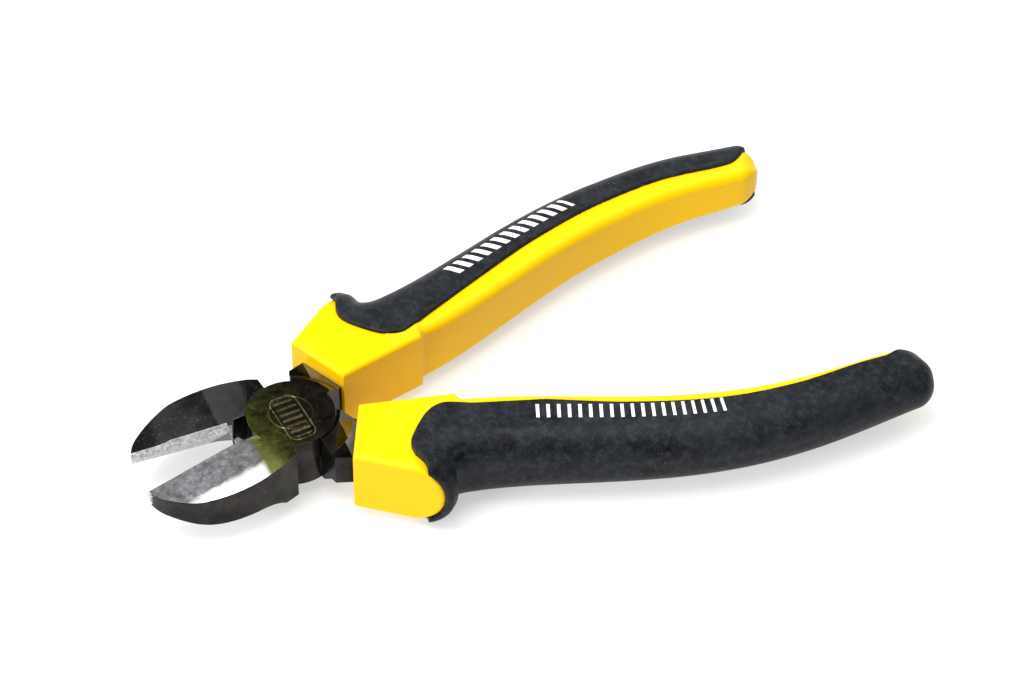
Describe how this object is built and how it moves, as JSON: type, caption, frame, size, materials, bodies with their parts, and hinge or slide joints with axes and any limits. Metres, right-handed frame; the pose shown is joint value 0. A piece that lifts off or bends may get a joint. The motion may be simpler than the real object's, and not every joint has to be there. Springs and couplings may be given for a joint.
{
  "type": "diagonal cutting pliers",
  "caption": "Diagonal cutting pliers with bevelled jaws, a round lap joint and two-tone moulded handles with finger guards.",
  "frame": {"origin": "on the pivot axis, on the flat underside of the joint", "axes": "+X from the pivot towards the handles, +Y towards the handle of the upper lever, +Z along the pivot axis, out of the joint's top face"},
  "size_m": [0.1524, 0.0824, 0.0162],
  "materials": {
    "steel": "polished, ground jaws",
    "rivet_steel": "ground flush and polished",
    "yellow_plastic": "gloss",
    "black_rubber": "satin, lightly dusty"
  },
  "bodies": {
    "upper_half": {"upper_lever": "steel", "pivot_rivet": "rivet_steel", "upper_handle_sleeve": "yellow_plastic", "upper_handle_cover": "black_rubber"},
    "lower_half": {"lower_lever": "steel", "lower_handle_sleeve": "yellow_plastic", "lower_handle_cover": "black_rubber"}
  },
  "joints": [
    {"name": "pivot", "type": "hinge", "parent": "upper_half", "child": "lower_half", "pos_m": [0, 0, 0.0055], "axis": [0, 0, 1], "range_deg": [-20, 16.6]}
  ]
}
